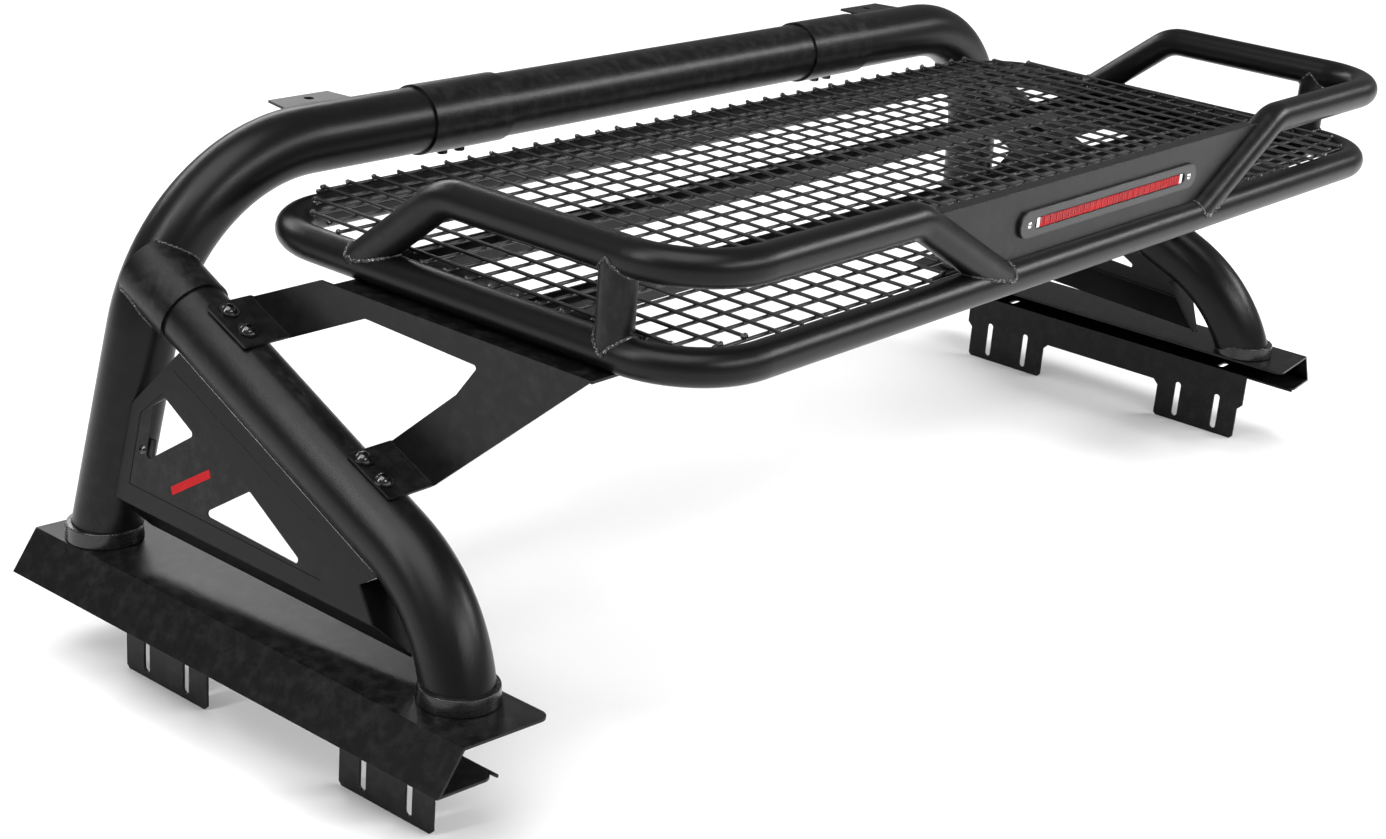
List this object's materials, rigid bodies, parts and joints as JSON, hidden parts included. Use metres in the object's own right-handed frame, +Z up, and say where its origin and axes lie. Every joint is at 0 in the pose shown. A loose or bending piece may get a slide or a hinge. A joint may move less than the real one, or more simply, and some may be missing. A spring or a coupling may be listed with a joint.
{
  "type": "truck bed rack",
  "caption": "Truck-bed roll bar with braced legs on bed-rail bases, carrying a mesh cargo basket with guard rails and a high brake light; its width adjusts in crossbar sleeves.",
  "frame": {"origin": "on the middle plane, under the middle of the rack's overall box, level with the lower ends of the clamping tabs", "axes": "+X across the truck to its passenger side, +Y forwards to the cab, +Z up; the cargo basket overhangs to -Y"},
  "size_m": [1.83, 0.795, 0.6199],
  "materials": {
    "black_powder_coat": "fine-textured satin black powder coat",
    "black_gloss_coat": "smooth gloss black coat",
    "black_fastener": "black oxide, semi-gloss",
    "mesh_coat": "satin black dip coat",
    "bezel_plastic": "fine satin black plastic",
    "red_lens": "clear glossy red, ribbed",
    "reflector_chrome": "bright",
    "housing_plastic": "matte black",
    "lamp_board": "satin",
    "bright_screw": "bright steel",
    "gland_rubber": "matte"
  },
  "bodies": {
    "centre": {"centre_tube": "black_powder_coat", "left_sleeve": "black_powder_coat", "right_sleeve": "black_powder_coat", "basket_frame": "black_powder_coat", "left_guard_rail": "black_powder_coat", "right_guard_rail": "black_powder_coat", "guard_posts": "black_powder_coat", "middle_channel": "black_powder_coat", "rear_channel": "black_powder_coat", "light_panel": "black_powder_coat", "mesh_long_wires": "mesh_coat", "mesh_cross_wires": "mesh_coat", "sleeve_bolts": "black_fastener", "basket_bolts": "black_fastener", "basket_nuts": "black_fastener", "light_bezel": "bezel_plastic", "light_lens": "red_lens", "light_end_caps": "reflector_chrome", "light_housing": "housing_plastic", "light_board": "lamp_board", "light_screws": "bright_screw", "cable_gland": "gland_rubber"},
    "left_side": {"left_hoop": "black_powder_coat", "left_hoop_collar": "black_powder_coat", "left_lamp_tab": "black_powder_coat", "left_brace": "black_powder_coat", "left_base_rail": "black_powder_coat", "left_side_panel": "black_powder_coat", "left_panel_lug": "black_powder_coat", "left_basket_bracket": "black_powder_coat", "left_foot_rings": "black_gloss_coat", "left_panel_screw": "black_fastener", "left_bracket_screws": "black_fastener", "left_bracket_washers": "black_fastener"},
    "right_side": {"right_hoop": "black_powder_coat", "right_hoop_collar": "black_powder_coat", "right_lamp_tab": "black_powder_coat", "right_brace": "black_powder_coat", "right_base_rail": "black_powder_coat", "right_side_panel": "black_powder_coat", "right_panel_lug": "black_powder_coat", "right_basket_bracket": "black_powder_coat", "right_foot_rings": "black_gloss_coat", "right_panel_screw": "black_fastener", "right_bracket_screws": "black_fastener", "right_bracket_washers": "black_fastener"}
  },
  "joints": [
    {"name": "left_width_slide", "type": "slide", "parent": "centre", "child": "left_side", "axis": [-1, 0, 0], "range_m": [-0.02, 0.03]},
    {"name": "right_width_slide", "type": "slide", "parent": "centre", "child": "right_side", "axis": [1, 0, 0], "range_m": [-0.02, 0.03]}
  ]
}
